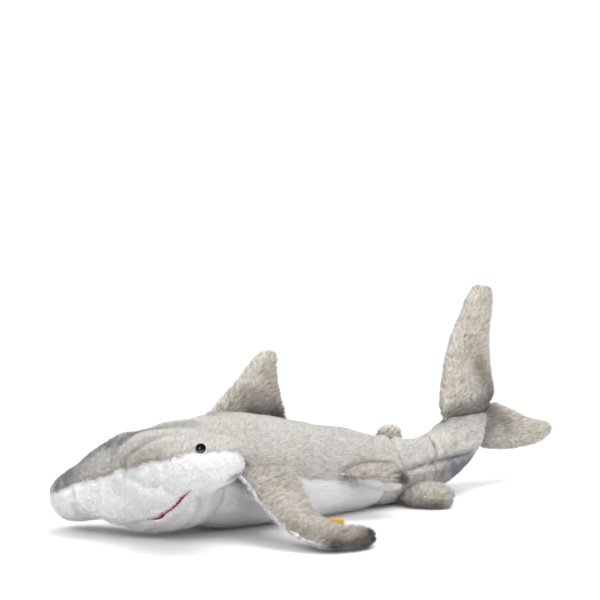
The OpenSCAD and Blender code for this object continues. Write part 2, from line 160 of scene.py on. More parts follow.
def curve(knots, steps=4):
    """Points along a smooth line through a few knots."""
    p = np.array([knots[0], *knots, knots[-1]], float)
    line = []
    for a, b, c, d in zip(p[:-3], p[1:-2], p[2:-1], p[3:]):
        for t in np.arange(steps) / steps:
            bend = (2 * a - 5 * b + 4 * c - d) * t ** 2 + (3 * b - a - 3 * c + d) * t ** 3
            line.append(0.5 * (2 * b + (c - a) * t + bend))
    return [*line, p[-1]]


def to_path(points, path):
    """Distance from each point to a line through `path`."""
    best = np.full(len(points), 1e9)
    for a, b in zip(path[:-1], path[1:]):
        d = b - a
        t = np.clip((points - a) @ d / (d @ d), 0, 1)
        best = np.minimum(best, np.linalg.norm(points - a - t[:, None] * d, axis=1))
    return best


def tree_of(points):
    """A search tree over some points."""
    tree = KDTree(len(points))
    for i, p in enumerate(points.tolist()):
        tree.insert(p, i)
    tree.balance()
    return tree


# ---- Meshes ----

def set_tint(me, colours):
    """Stores a colour on each vertex, where the materials read it."""
    tint = me.color_attributes.new("tint", "FLOAT_COLOR", "POINT")
    rgba = np.ones((len(colours), 4))
    rgba[:, :3] = colours
    tint.data.foreach_set("color", rgba.astype(np.float32).ravel())


def node_mesh(name):
    """Vertices and triangles of a CAD node."""
    me = NODES[name].data
    me.calc_loop_triangles()
    co = np.zeros(len(me.vertices) * 3)
    me.vertices.foreach_get("co", co)
    tris = np.zeros(len(me.loop_triangles) * 3, np.int64)
    me.loop_triangles.foreach_get("vertices", tris)
    return co.reshape(-1, 3), tris.reshape(-1, 3)


def joined(parts):
    verts, faces, base = [], [], 0
    for v, f in parts:
        verts.append(v)
        faces.append(f + base)
        base += len(v)
    return np.concatenate(verts), np.concatenate(faces)


def new_mesh(name, verts, faces, smooth=True):
    """A mesh from faces with equal numbers of corners."""
    me = bpy.data.meshes.new(name)
    corners = faces.shape[1]
    me.vertices.add(len(verts))
    me.vertices.foreach_set("co", np.asarray(verts, np.float32).ravel())
    me.loops.add(faces.size)
    me.loops.foreach_set("vertex_index", faces.astype(np.int32).ravel())
    me.polygons.add(len(faces))
    me.polygons.foreach_set("loop_start", np.arange(0, faces.size, corners, dtype=np.int32))
    me.polygons.foreach_set("use_smooth", np.full(len(faces), smooth))
    me.update(calc_edges=True)
    return me


def new_object(name, me):
    obj = bpy.data.objects.new(name, me)
    bpy.context.scene.collection.objects.link(obj)
    return obj


def evaluated(verts, faces, *modifiers):
    """Vertices and quads after some modifiers, each (type, {setting: value})."""
    obj = new_object("scratch", new_mesh("scratch", verts, faces))
    for kind, settings in modifiers:
        mod = obj.modifiers.new(kind, kind)
        for key, value in settings.items():
            setattr(mod, key, value)
    made = obj.evaluated_get(bpy.context.evaluated_depsgraph_get()).to_mesh()
    co = np.zeros(len(made.vertices) * 3)
    made.vertices.foreach_get("co", co)
    quads = np.array([p.vertices[:] for p in made.polygons if len(p.vertices) == 4], np.int64)
    bpy.data.objects.remove(obj)
    return co.reshape(-1, 3), quads


def largest_piece(verts, faces):
    """The faces of the connected piece with the most vertices."""
    label = np.arange(len(verts))
    while True:
        low = label[faces].min(axis=1)
        new = label.copy()
        for k in range(faces.shape[1]):
            np.minimum.at(new, faces[:, k], low)
        new = new[new]
        if (new == label).all():
            break
        label = new
    names, counts = np.unique(label, return_counts=True)
    keep = names[np.argmax(counts)]
    return used(verts, faces[label[faces[:, 0]] == keep])[:2]


def used(verts, faces):
    """Only the vertices that the faces use, the faces on them, and the vertices' old numbers."""
    index = np.unique(faces)
    renumber = np.zeros(len(verts), np.int64)
    renumber[index] = np.arange(len(index))
    return verts[index], renumber[faces], index


def normals_of(verts, faces):
    a, b, c, d = (verts[faces[:, k]] for k in range(4))
    n = np.cross(c - a, d - b)
    out = np.zeros_like(verts)
    for k in range(4):
        for axis in range(3):
            out[:, axis] += np.bincount(faces[:, k], n[:, axis], len(verts))
    return unit(out)


def edges_of(faces):
    pairs = np.concatenate([faces[:, [k, (k + 1) % 4]] for k in range(4)])
    return np.unique(np.sort(pairs, axis=1), axis=0)


def relaxed(values, edges, rounds, share=0.5):
    """Values on the vertices, evened out with their neighbours."""
    values = np.array(values, float).reshape(len(values), -1)
    n = len(values)
    count = np.bincount(edges.ravel(), minlength=n)[:, None]
    for _ in range(rounds):
        total = np.zeros_like(values)
        for axis in range(values.shape[1]):
            total[:, axis] = (np.bincount(edges[:, 0], values[edges[:, 1], axis], n)
                              + np.bincount(edges[:, 1], values[edges[:, 0], axis], n))
        values = values * (1 - share) + share * total / np.maximum(count, 1)
    return values.squeeze()


# ---- Forms: one smooth closed surface for the body and one for each fin ----

def body_border(points):
    """How much higher a border between two of the body's panels lies than on the CAD part."""
    x, side, _ = toy_coords(points)
    lobe = ramp(-side, 78, 104) * ramp(-x, -60, -40) * 4.0
    snout = bump(side + 2, 9) * ramp(-x, -30, -15) * 2.0
    flank = ramp(x, 78, 92) * ramp(-x, -175, -140) * ramp(-side, 30, 45) * -6.0
    wobble = 0.8 * noise(points, 7 * MM, 33)
    return (lobe + snout + flank + wobble) * MM


def fin_border(points):
    """Fins lap over their undersides a little."""
    return (-1.0 + 0.6 * noise(points, 6 * MM, 35)) * MM


def pectoral_border(points):
    """The white underside wraps up round the front edge, and stays under the tip."""
    x, _, _ = toy_coords(points)
    front = 1 - ramp(x, 92, 106)
    return (-2.2 + 3.6 * front + 0.5 * noise(points, 6 * MM, 35)) * MM


def pelvic_border(points):
    """The grey top laps well over the pelvic fins' undersides."""
    return (-4.0 + 0.6 * noise(points, 6 * MM, 35)) * MM


FIN_BORDERS = {"left_pelvic": pelvic_border, "right_pelvic": pelvic_border,
               "left_pectoral": pectoral_border, "right_pectoral": pectoral_border}


class Form:
    """A surface, and for each face the CAD panel that it belongs to."""

    def __init__(self, verts, faces, panels, border):
        self.verts, self.faces = verts, faces
        self.border = border
        self.edges = edges_of(faces)
        self.names = panels
        self.normals = normals_of(verts, faces)
        self.panel = self.panel_of(verts[faces].mean(axis=1))
        self.seam = self.distance_to_seams()

    def panel_of(self, points):
        verts, tris, owner = [], [], []
        base = 0
        for k, name in enumerate(self.names):
            v, t = node_mesh(name)
            verts.append(v)
            tris.append(t + base)
            owner += [k] * len(t)
            base += len(v)
        tree = BVHTree.FromPolygons(np.concatenate(verts).tolist(), np.concatenate(tris).tolist())
        asked = points - TOY_UP * self.border(points)[:, None]
        return np.array([owner[tree.find_nearest(p)[2]] for p in asked.tolist()])

    def distance_to_seams(self):
        low = np.full(len(self.verts), 10**6)
        high = np.full(len(self.verts), -1)
        for k in range(4):
            np.minimum.at(low, self.faces[:, k], self.panel)
            np.maximum.at(high, self.faces[:, k], self.panel)
        on_seam = self.verts[low != high]
        tree = tree_of(on_seam)
        return np.array([tree.find(p)[2] for p in self.verts.tolist()])

    def move(self, depth):
        """Moves each vertex out along its normal."""
        self.verts = self.verts + self.normals * depth[:, None]
        self.normals = normals_of(self.verts, self.faces)

    def lift_clear(self):
        """Flattens the cloth where it would pass through the floor."""
        self.verts[:, 2] = np.maximum(self.verts[:, 2], CLOTH_ABOVE_FLOOR)


def panels_of(body):
    return [n for n in BODIES[body] if n.endswith(("_panel", "_underside"))]


def solid_parts(bodies):
    names = [n for b in bodies for n in BODIES[b]
             if n.endswith(("_panel", "_underside", "_stuffing", "_lining"))]
    return [node_mesh(n) for n in names]


def bridge(bodies, near, reach):
    """A hull over the panels' ends on both sides of a joint, which closes the gap between them."""
    points = np.concatenate([node_mesh(n)[0] for b in bodies for n in panels_of(b)])
    points = points[np.abs(points[:, 0] - near) < reach]
    obj = new_object("hull", bpy.data.meshes.new("hull"))
    bm = bmesh.new()
    for p in points:
        bm.verts.new(p)
    bmesh.ops.convex_hull(bm, input=bm.verts)
    bmesh.ops.triangulate(bm, faces=bm.faces)
    bm.verts.ensure_lookup_table()
    bm.verts.index_update()
    verts = np.array([v.co[:] for v in bm.verts])
    faces = np.array([[v.index for v in f.verts] for f in bm.faces])
    bm.free()
    bpy.data.objects.remove(obj)
    return used(verts, faces)[:2]


def smooth_form(parts, voxel, rounds, split):
    verts, faces = joined(parts)
    verts, faces = evaluated(verts, faces, ("REMESH", {"mode": "VOXEL", "voxel_size": voxel}))
    verts, faces = largest_piece(verts, faces)
    verts = relaxed(verts, edges_of(faces), rounds)
    if split:
        verts, faces = evaluated(verts, faces, ("SUBSURF", {"levels": 1}))
    return verts, faces


def body_form():
    gap = bridge(BODY_BODIES, TAIL_HINGE[0], 13 * MM)
    verts, faces = smooth_form(solid_parts(BODY_BODIES) + [gap], 3 * MM, 6, True)
    head = 1 - ramp(verts[:, :1], at(75, 0, 0)[0], at(115, 0, 0)[0])
    verts += head * (relaxed(verts, edges_of(faces), 22) - verts)
    return Form(verts, faces, [n for b in BODY_BODIES for n in panels_of(b)], body_border)


def root_of(body):
    """Where a fin is sewn on: the point, and the direction out from it along the fin."""
    joint = JOINTS[body]
    point, axis = np.array(joint["pos_m"]), unit(joint["axis"])
    middle = np.mean([sum(np.array(c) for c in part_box(n)) / 2 for n in panels_of(body)], axis=0)
    out = middle - point
    return point, unit(out - axis * (out @ axis))


ROOT_REACH = 12 * MM
ROOT_TUCK = 6 * MM
SMALL_FINS = ("second_dorsal", "anal", "left_pelvic", "right_pelvic")


def fin_form(body):
    rounds = 14 if body in SMALL_FINS else 5
    verts, faces = smooth_form(solid_parts([body]), 2.0 * MM, rounds, False)
    form = Form(verts, faces, panels_of(body), FIN_BORDERS.get(body, fin_border))
    point, out = root_of(body)
    form.along = (form.verts - point) @ out
    near = 1 - ramp(form.along, 0, ROOT_REACH)
    form.verts = form.verts - out * (ROOT_TUCK * near)[:, None] + fin_set(body, form)
    form.normals = normals_of(form.verts, form.faces)
    return form


def fin_set(body, form):
    """How a fin's stuffing has settled it: a full shoulder, a curled tip or a swollen pad."""
    along = form.along[:, None]
    if body == "left_pectoral":
        return TOY_UP * SHOULDER_RISE * (1 - ramp(along, 0, 34 * MM))
    if body == "second_dorsal":
        return TOY_UP * -3 * MM * np.ones_like(along)
    if body == "left_pelvic":
        curl = (TOY_UP * 5 - TOY_BACK * 9) * MM * ramp(along, 0, 30 * MM)
        return curl + TOY_UP * 3 * MM
    if body == "anal":
        height = form.verts[:, 2:] - form.verts[:, 2].min()
        swell = np.array([0, 0, 0.42]) * height
        return (swell - TOY_BACK * 5 * MM) * ramp(along, 0, 20 * MM)
    return np.zeros_like(form.verts)


SHOULDER_RISE = 8 * MM


# ---- Sewing: seams pull in, panels crown between them, folds and puckers ----

def pucker(form, size, seed):
    """Short gathers that run in from a seam."""
    return noise(form.verts, size, seed) * bump(form.seam, 9 * MM)


# Each fold: its path, how wide and deep it is, and how far the cloth swells beside it, in millimetres
BODY_FOLDS = (
    # Where the left lobe rises out of the head: from the notch in front up over its shoulder
    ([(5, -6, 68), (3, -14, 79), (2, -34, 90), (16, -66, 99)], 4.6, 9.0, 4.2),
    # Under the left lobe, from the notch to the tip
    ([(5, -7, 68), (-1, -28, 62), (0, -51, 56)], 5.5, 2.4, 0.8),
    ([(0, -51, 56), (6, -72, 58), (14, -98, 64)], 7.0, 1.6, 0.8),
    # Pleats in the flank ahead of the tail
    ([(363, 6, 66), (342, -20, 66), (338, -38, 42)], 3.2, 4.0, 1.6),
    ([(416, 2, 62), (408, -20, 55), (396, -31, 40)], 3.2, 5.0, 2.0),
    ([(394, -32, 38), (396, -30, 22), (402, -22, 14)], 3.0, 4.0, 1.6),
    ([(452, 4, 73), (450, -16, 64), (444, -26, 50)], 5.0, 1.8, 0.8),
    # Side seam from the pelvic fin to the root of the tail fin
    ([(337, -39, 37), (400, -30, 41), (466, -22, 44)], 2.8, 4.0, 1.6),
    # The same pleats on the right flank
    ([(368, 26, 62), (366, 40, 50), (366, 42, 36)], 3.4, 3.0, 1.2),
    ([(412, 24, 58), (412, 36, 46), (410, 34, 30)], 3.4, 4.0, 1.6),
    # Jaw's rear end and the throat behind it
    ([(40, -66, 50), (58, -48, 32), (62, -16, 12)], 4.2, 4.0, 2.0),
    # Under the right lobe
    ([(0, 60, 28), (14, 60, 18), (16, 30, 16)], 3.8, 3.2, 1.4),
    # Crest: full over the right eye's side, with a dip before the neck
    ([(4, 50, 74), (18, 38, 86), (30, 26, 92)], 10.0, -2.6, 0),
    ([(46, 34, 94), (42, 5, 101), (36, -12, 101)], 7.0, 2.6, 1.2),
)
# Folds that carry a thin line of painted shade: the paths' places in BODY_FOLDS, and how dark
PAINTED_FOLD_SHADES = ((0, 0.75), (1, 0.04), (3, 0.8), (4, 1.0), (5, 0.9), (7, 1.0), (8, 0.6), (9, 0.7))


def fold(points, path, width, depth, swell):
    """How far the cloth moves out at a fold: down along its path, and up beside it."""
    far = to_path(points, [at(*p) for p in curve(path)])
    beside = bump(far - 2.2 * width * MM, 1.6 * width * MM)
    return (swell * beside - depth * bump(far, width * MM)) * MM


def painted_fold_shade(points):
    """How deep each point lies in the narrow line of painted shade along a fold, from 0 to 1."""
    shade = np.zeros(len(points))
    for index, share in PAINTED_FOLD_SHADES:
        shade = np.maximum(shade, share * streak(points, BODY_FOLDS[index][0], 2.2))
    return shade


def sew_body(form):
    """Pulls the body's seams in, crowns its panels and presses its folds and eye dimples."""
    p, s = form.verts, form.seam
    depth = np.full(len(p), -2.0 * MM)
    depth += -1.8 * MM * bump(s, 3.2 * MM) + 1.0 * MM * ramp(s, 4 * MM, 22 * MM)
    x, side, _ = toy_coords(p)
    behind_head = ramp(x, 70, 110)
    lobe = ramp(np.abs(side), 35, 70) * (1 - behind_head)
    depth += 1.1 * MM * lobe
    depth += pucker(form, 6 * MM, 5) * (0.15 + 0.55 * behind_head) * MM
    depth += noise(p, 38 * MM, 8) * 1.2 * MM + noise(p, 15 * MM, 9) * (0.15 + 0.3 * behind_head) * MM
    for path, width, deep, swell in BODY_FOLDS:
        depth += fold(p, path, width, deep, swell)
    for eye in ("left", "right"):
        depth += -1.2 * MM * bump(np.linalg.norm(p - eye_axis(eye)[0], axis=1), 8 * MM)
    form.move(relaxed(depth, form.edges, 1))
    form.lift_clear()


def sew_fin(form, body):
    """Fins are cut smaller than their outline, because their long pile fills it."""
    p, s = form.verts, form.seam
    inset = -0.4 if body in SMALL_FINS else -2.8
    depth = (-0.8 + (inset + 0.8) * ramp(form.along, 3 * MM, 18 * MM)) * MM
    depth += -1.2 * MM * bump(s, 2.5 * MM) + 1.2 * MM * ramp(s, 3 * MM, 14 * MM)
    depth += pucker(form, 5 * MM, 15) * 0.6 * MM
    depth += noise(p, 24 * MM, 18) * 1.3 * MM + noise(p, 12 * MM, 19) * 0.6 * MM
    form.move(relaxed(depth, form.edges, 2))
    form.lift_clear()


# ---- Colours ----

def linear(r, g, b):
    """A linear colour from its 0 to 255 display values."""
    c = np.array([r, g, b]) / 255.0
    return np.where(c <= 0.04045, c / 12.92, ((c + 0.055) / 1.055) ** 2.4)


GREY = linear(222, 219, 214)
WARM = linear(230, 224, 212)
BEIGE = linear(176, 161, 139)
SLATE = linear(124, 127, 137)
SOOT = linear(58, 57, 60)
SNOW = linear(250, 252, 253)


def blend_to(colour, target, share):
    share = np.clip(share, 0, 1)[:, None]
    return colour * (1 - share) + target * share


def toy_coords(points):
    """How far behind the nose, to the right and up in the toy's own directions, in millimetres."""
    q = points - LEAN_AXIS
    return q[:, 0] / MM, (q @ TOY_SIDE) / MM, (q @ TOY_UP) / MM + LEAN_HEIGHT


def streak(points, path, width):
    return bump(to_path(points, [at(*p) for p in curve(path)]), width * MM)


# Slate crest of the head, from beside the right eye to the neck
CREST = [(2, 78, 48), (14, 48, 75), (25, 14, 90), (32, -16, 100)]
# Painted shade on the body round the root of the left pelvic fin
PELVIC_ROOT_SHADE = [(233, -50, 41), (246, -50, 52), (290, -43, 52), (323, -39, 46)]


def body_paint(points):
    """Grey with a slate crest and spine, slate under the tail, painted shade along folds and round the left pelvic
    fin's root, and black painted shade in the gap behind the left lobe.
    """
    x, side, up = toy_coords(points)
    cloud = noise(points, 22 * MM, 41)
    fine = noise(points, 8 * MM, 43)
    colour = np.tile(GREY, (len(points), 1))
    border = ramp(-x, -66, -40) * ramp(side, -95, -30) * ramp(-up, -84, -66)
    colour = blend_to(colour, BEIGE, 0.55 * border * (0.7 + 0.5 * fine))
    wing = streak(points, [(0, -30, 74), (-4, -60, 78), (0, -88, 82), (14, -112, 86)], 9)
    colour = blend_to(colour, BEIGE, wing * (0.55 + 0.3 * fine))
    crest = streak(points, CREST, 13)
    crest = crest * (1.3 + 0.4 * cloud + 0.5 * fine + 0.5 * noise(points, 4 * MM, 45))
    ridge = streak(points, [(34, -24, 100), (52, -22, 104), (80, -12, 106)], 9) * 0.55
    spine = bump(side + 3, 16) * ramp(up, 60, 75) * ramp(x, 96, 116)
    spine = spine * (0.9 - 0.35 * ramp(x, 230, 290) + 0.3 * cloud)
    keel = ramp(x, 372, 440) * ramp(-up, -52, -20) * ramp(-x, -510, -470) * (1.1 + 0.5 * fine)
    tail_top = bump(side, 10) * ramp(x, 420, 460) * ramp(up, 55, 70) * 0.5
    colour = blend_to(colour, SLATE, np.maximum.reduce([crest, ridge, spine, keel, tail_top]))
    # Painted shade: a thin dark line along each listed fold
    colour = blend_to(colour, BEIGE * 0.35, painted_fold_shade(points))
    # Painted shade where the left pelvic fin meets the body
    pelvic_root_shade = streak(points, PELVIC_ROOT_SHADE, 2.6)
    colour = blend_to(colour, BEIGE * 0.35, pelvic_root_shade * 0.75)
    # Black painted shade in the gap between the left lobe's tip and the pectoral fin
    gap = streak(points, [(84, -52, 60), (96, -54, 64), (104, -54, 64)], 7)
    return blend_to(colour, SOOT, gap * 1.2)


def fin_paint(points, body):
    colour = np.tile(WARM, (len(points), 1))
    cloud = noise(points, 16 * MM, 47)
    colour = blend_to(colour, BEIGE, 0.05 + 0.2 * cloud)
    where = on_toy if body in UPRIGHT_FINS else at
    for path, size, share, dark in FIN_SHADES.get(body, ()):
        mask = bump(to_path(points, [where(*p) for p in path]), size * MM)
        colour = blend_to(colour, dark, mask * share)
    return colour


UPRIGHT_FINS = ("dorsal", "second_dorsal", "caudal_upper", "caudal_lower")
# Sprayed shades of each fin, with painted highlights along some edges and painted shade at some roots and along
# the anal fin's lower edge: a path, its width in millimetres, its strength and its colour
FIN_SHADES = {
    "dorsal": (([(160, 0, 122), (190, 0, 116), (216, 0, 110)], 15, 0.75, BEIGE * 0.62),
               ([(198, 0, 142), (206, 0, 132)], 13, 0.45, BEIGE * 0.62),
               # Painted shade along the fin's base, where it meets the back
               ([(165, 0, 108), (190, 0, 104), (222, 0, 99)], 8, 0.95, SLATE * 0.45),
               # Painted highlight along the front edge
               ([(118, 0, 114), (150, 0, 134), (186, 0, 158), (204, 0, 170)], 10, 0.9, WARM * 1.12)),
    "second_dorsal": (([(334, 0, 66), (341, 0, 70)], 9, 1.0, SLATE * 0.45),),
    "caudal_upper": (([(534, 0, 98), (527, 0, 112), (523, 0, 130)], 15, 1.0, BEIGE * 0.42),
                     # Painted shade in the corner between the fin and the tail
                     ([(462, 0, 84), (490, 0, 88), (520, 0, 92), (546, 0, 100)], 9, 0.85, SLATE * 0.35),
                     # Painted highlight along the front edge
                     ([(452, 0, 90), (456, 0, 118), (476, 0, 148), (508, 0, 190), (540, 0, 226)], 11, 0.8,
                      WARM * 1.12)),
    "caudal_lower": (([(512, 0, 60), (540, 0, 66)], 14, 0.4, SLATE),
                     ([(522, 0, 84), (536, 0, 78), (550, 0, 68)], 12, 0.75, BEIGE * 0.45),
                     ([(504, 0, 44), (524, 0, 66), (536, 0, 86)], 7, 0.5, SLATE * 0.7),
                     ([(508, 0, 44), (550, 0, 38), (590, 0, 37)], 6, 0.5, SLATE)),
    "left_pectoral": (([(160, -162, 10), (140, -173, 8), (127, -175, 7), (116, -175, 6), (106, -167, 8)],
                       11, 1.2, SOOT),
                      ([(92, -130, 18), (106, -150, 14), (130, -160, 10)], 16, 0.5, BEIGE),
                      ([(170, -160, 6), (168, -152, 8)], 9, 0.4, SLATE * 0.6),
                      ([(86, -70, 52), (84, -104, 34), (86, -140, 16)], 9, 0.4, BEIGE * 0.9),
                      # Black painted shade at the root's front, in the gap under the left lobe's tip
                      ([(98, -56, 68), (86, -65, 60), (84, -76, 50)], 6, 1.0, SOOT),
                      # Painted highlight along the shoulder's ridge
                      ([(110, -80, 52), (108, -120, 32), (120, -150, 22)], 12, 0.6, WARM * 1.1)),
    "right_pectoral": (([(160, 168, 6), (128, 176, 6), (110, 170, 6)], 11, 0.9, SOOT * 1.3),),
    "left_pelvic": (([(293, -77, 38), (302, -76, 35), (312, -68, 33)], 10, 1.2, SLATE * 0.35),
                    # Painted shade at the root, where the fin meets the body
                    ([(236, -54, 42), (244, -64, 42)], 6, 0.3, BEIGE * 0.7)),
    "right_pelvic": (([(318, 74, 12), (324, 70, 12)], 11, 1.0, SLATE * 0.4),),
    # Painted shade along the fin's lower edge, just over the floor
    "anal": (([(341, -56, 4), (361, -80, 4), (386, -70, 5)], 6, 1.0, BEIGE * 0.3),
             ([(384, -74, 8), (388, -60, 9)], 8, 0.8, SLATE * 0.45)),
}


def paint(points, panel, body):
    if SLOT_OF[panel] == WHITE:
        colour = np.tile(SNOW, (len(points), 1))
        if body in BODY_BODIES:
            # Black painted shade in the gap behind the left lobe and under its tip, streaked by noise
            gap = streak(points, [(84, -52, 56), (96, -54, 56), (108, -54, 55)], 7)
            under_tip_shade = streak(points, [(38, -111, 65), (49, -108, 66), (60, -100, 68)], 4.5)
            shade_streaks = 1.2 + 0.6 * noise(points, 3 * MM, 49)
            colour = blend_to(colour, SOOT, np.maximum(gap, under_tip_shade) * shade_streaks)
            # Painted shade, fainter, along the same folds on the white
            colour = blend_to(colour, BEIGE * 0.8, 0.4 * painted_fold_shade(points))
        if "pectoral" in body:
            path, size, share, dark = FIN_SHADES[body][0]
            colour = blend_to(colour, dark, share * streak(points, path, size))
        return colour
    return body_paint(points) if body in BODY_BODIES else fin_paint(points, body)


# ---- Materials ----

def principled(name, roughness=0.9, sheen=0.0, sheen_roughness=0.5, specular=0.3):
    mat = bpy.data.materials.new(name)
    mat.use_nodes = True
    shader = mat.node_tree.nodes["Principled BSDF"]
    shader.inputs["Roughness"].default_value = roughness
    shader.inputs["Specular IOR Level"].default_value = specular
    shader.inputs["Sheen Weight"].default_value = sheen
    shader.inputs["Sheen Roughness"].default_value = sheen_roughness
    return mat, shader


def node_of(mat, kind, **values):
    node = mat.node_tree.nodes.new(kind)
    for key, value in values.items():
        if key in node.inputs:
            node.inputs[key].default_value = value
        else:
            setattr(node, key, value)
    return node


def grained(mat, shader, scale, detail, strength, distance):
    """Fine relief from noise on a material. Gives its coordinates and its noise."""
    link = mat.node_tree.links.new
    coords = node_of(mat, "ShaderNodeTexCoord")
    grain = node_of(mat, "ShaderNodeTexNoise", Scale=scale, Detail=detail)
    relief = node_of(mat, "ShaderNodeBump", Strength=strength, Distance=distance)
    link(coords.outputs["Object"], grain.inputs["Vector"])
    link(grain.outputs["Fac"], relief.inputs["Height"])
    link(relief.outputs["Normal"], shader.inputs["Normal"])
    return coords, grain


def cloth_material(name):
    """Woven ground of the plush under its pile: tinted, mottled and finely ribbed."""
    mat, shader = principled(name, 0.95, 0.25)
    link = mat.node_tree.links.new
    tint = node_of(mat, "ShaderNodeAttribute", attribute_name="tint")
    coords, _ = grained(mat, shader, 1300.0, 2.0, 0.5, 0.0006)
    mottle = node_of(mat, "ShaderNodeTexNoise", Scale=420.0, Detail=3.0)
    shade = node_of(mat, "ShaderNodeMapRange")
    shade.inputs["To Min"].default_value = 0.66
    shade.inputs["To Max"].default_value = 1.0
    mix = node_of(mat, "ShaderNodeVectorMath", operation="SCALE")
    link(coords.outputs["Object"], mottle.inputs["Vector"])
    link(mottle.outputs["Fac"], shade.inputs["Value"])
    link(tint.outputs["Color"], mix.inputs[0])
    link(shade.outputs["Result"], mix.inputs["Scale"])
    link(mix.outputs["Vector"], shader.inputs["Base Color"])
    return mat


class Shades:
    """Fibre materials in a few steps between the plush's colours. A fibre takes the nearest."""

    def __init__(self):
        steps = []
        for dark, light, count in ((SOOT * 0.8, GREY * 0.5, 4), (GREY * 0.5, GREY * 1.15, 9),
                                   (BEIGE * 0.4, WARM * 1.12, 9), (SLATE * 0.5, SLATE * 1.6, 6),
                                   (SNOW * 0.75, SNOW * 1.02, 4)):
            for k in range(count):
                steps.append(dark + (light - dark) * k / (count - 1))
        self.colours = np.clip(np.array(steps), 0, 0.97)
        self.materials = []
        for k, colour in enumerate(self.colours):
            mat, shader = principled(f"fibre_{k:02d}", 0.75, 0.2, 0.4, 0.25)
            shader.inputs["Base Color"].default_value = (*colour, 1)
            self.materials.append(mat)

    def nearest(self, colours):
        best = np.full(len(colours), 1e9)
        index = np.zeros(len(colours), np.int64)
        for k, c in enumerate(self.colours):
            far = ((np.sqrt(np.maximum(colours, 0)) - np.sqrt(c)) ** 2).sum(axis=1)
            closer = far < best
            best[closer] = far[closer]
            index[closer] = k
        return index


# ---- Pile ----

class Pile:
    """How a panel's fibres stand: fibres for each square millimetre, and lengths in metres."""

    def __init__(self, density, length, lift, width, clump, pull, tuft, contrast):
        self.density, self.length, self.lift, self.width = density, length, lift, width
        self.clump, self.pull, self.tuft, self.contrast = clump, pull, tuft, contrast


# contrast: how much tufts differ in tone, and how dark the painted shade at their edges is
BODY_PILE = Pile(2.2, 3.3 * MM, 50, 0.38 * MM, 2.5 * MM, 0.32, 0.50, 0.15)
HEAD_PILE = Pile(2.2, 3.3 * MM, 50, 0.38 * MM, 2.5 * MM, 0.30, 0.45, 0.14)
WHITE_PILE = Pile(1.7, 2.8 * MM, 56, 0.42 * MM, 2.6 * MM, 0.10, 0.10, 0.03)
FIN_PILE = Pile(2.5, 5.0 * MM, 56, 0.42 * MM, 3.2 * MM, 0.50, 0.75, 0.26)
SMALL_FIN_PILE = Pile(2.7, 5.6 * MM, 56, 0.44 * MM, 3.4 * MM, 0.52, 0.75, 0.28)
FRINGE_PILE = Pile(2.2, 4.2 * MM, 54, 0.42 * MM, 3.0 * MM, 0.3, 0.3, 0.06)


def pile_for(panel, body):
    if SLOT_OF[panel] == WHITE:
        return WHITE_PILE if body in BODY_BODIES else FRINGE_PILE
    if panel == HEAD_TOP:
        return HEAD_PILE
    if body in SMALL_FINS:
        return SMALL_FIN_PILE
    return FIN_PILE if body in FIN_BODIES else BODY_PILE


def comb_of(points, body):
    """The way the pile is brushed: to the tail on the body, and out along a fin."""
    if body in BODY_BODIES:
        return np.tile(TOY_BACK - 0.12 * TOY_UP, (len(points), 1))
    _, out = root_of(body)
    return np.tile(out + 0.45 * TOY_BACK, (len(points), 1))


def scattered(verts, faces, normals, density, rng):
    """Random points over some quads, with their normals."""
    tris = np.concatenate([faces[:, [0, 1, 2]], faces[:, [0, 2, 3]]])
    a, b, c = (verts[tris[:, k]] for k in range(3))
    area = np.linalg.norm(np.cross(b - a, c - a), axis=1) / 2
    count = int(area.sum() / MM**2 * density)
    pick = np.searchsorted(np.cumsum(area) / area.sum(), rng.random(count))
    pick = np.minimum(pick, len(tris) - 1)
    u, v = rng.random(count), rng.random(count)
    over = u + v > 1
    u[over], v[over] = 1 - u[over], 1 - v[over]
    w = np.stack([1 - u - v, u, v], axis=1)
    corners = tris[pick]
    point = (verts[corners] * w[:, :, None]).sum(axis=1)
    normal = unit((normals[corners] * w[:, :, None]).sum(axis=1))
    return point, normal


def tangent(v, normal):
    return v - normal * (v * normal).sum(axis=1, keepdims=True)


def clump_centres(points, size, seed):
    """The middle of each point's tuft, the tuft's own tone from 0 to 1, and the way that it leans."""
    cell = np.floor(points / size + 500)
    jitter = np.stack([hashed(cell, seed + k) for k in (1, 2, 3)], axis=1)
    lean = np.stack([hashed(cell, seed + k) for k in (4, 5, 6)], axis=1) * 2 - 1
    return (cell - 500 + 0.15 + 0.7 * jitter) * size, hashed(cell, seed + 9), lean


